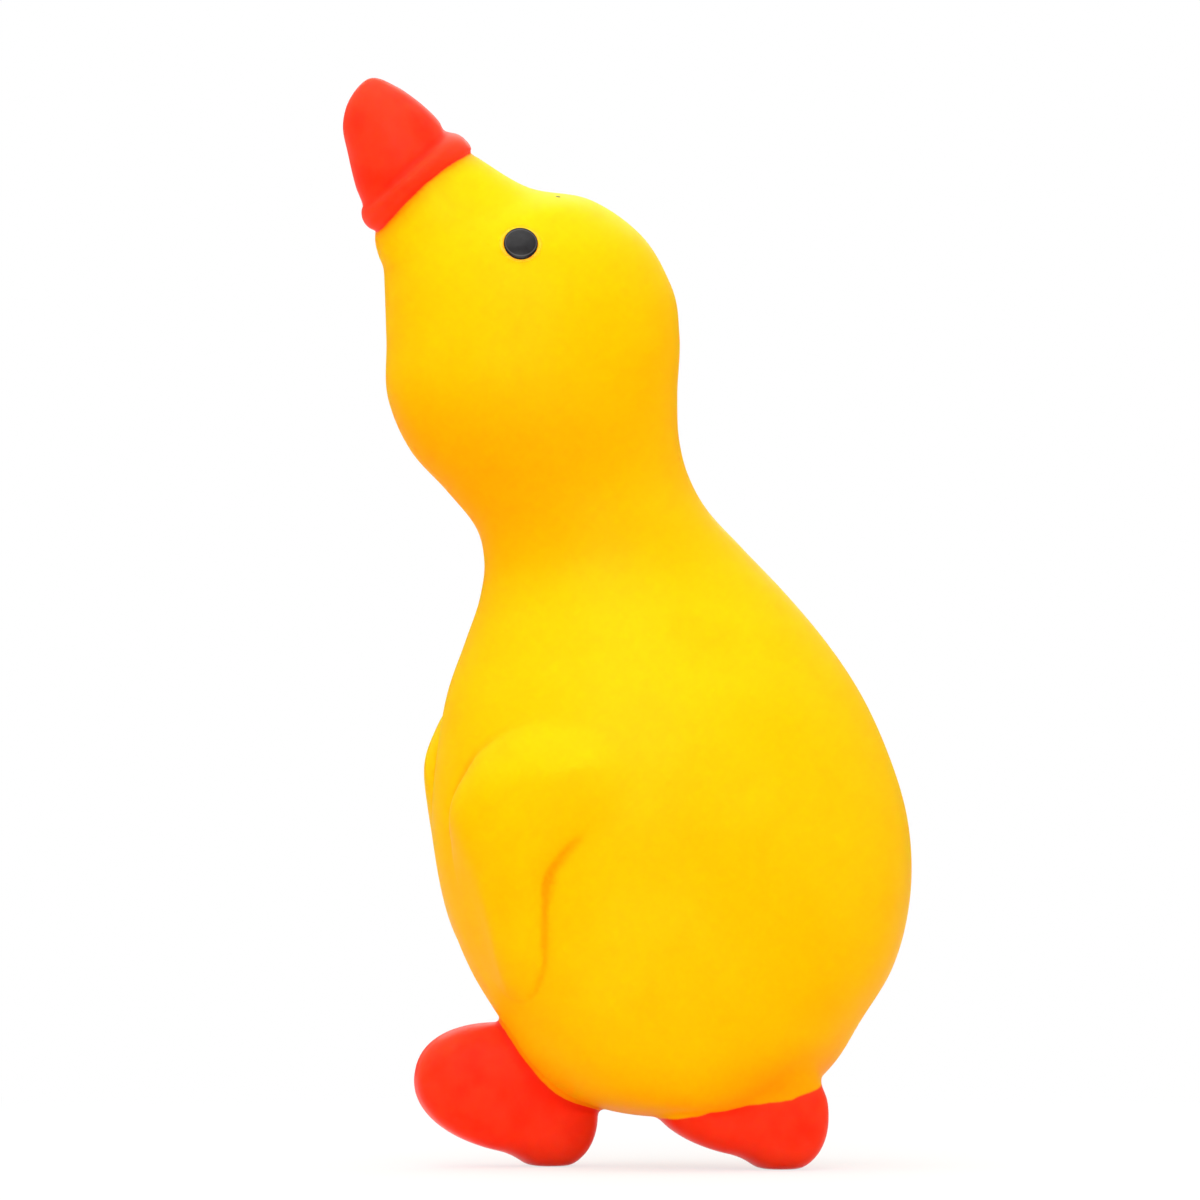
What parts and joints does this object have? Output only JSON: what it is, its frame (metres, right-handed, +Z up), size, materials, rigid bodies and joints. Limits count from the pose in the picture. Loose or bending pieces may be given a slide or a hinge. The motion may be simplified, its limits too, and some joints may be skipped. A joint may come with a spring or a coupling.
{
  "type": "rubber duck",
  "caption": "Tall upright hollow squeaky duck of soft yellow vinyl, its beak tipped up, with wings raised as lobes and staggered feet that it stands on.",
  "frame": {"origin": "on the floor, under the middle of the part's box", "axes": "the duck looks along -Y, +X is its own left side, +Z up"},
  "size_m": [0.1344, 0.2018, 0.3837],
  "materials": {
    "yellow_vinyl": "soft glossy vinyl, bright yellow, with the beak and feet sprayed orange-red and the eyes painted black",
    "squeaker_plastic": "natural white, satin"
  },
  "bodies": {
    "root": {"body": "yellow_vinyl", "squeaker": "squeaker_plastic"}
  },
  "joints": []
}
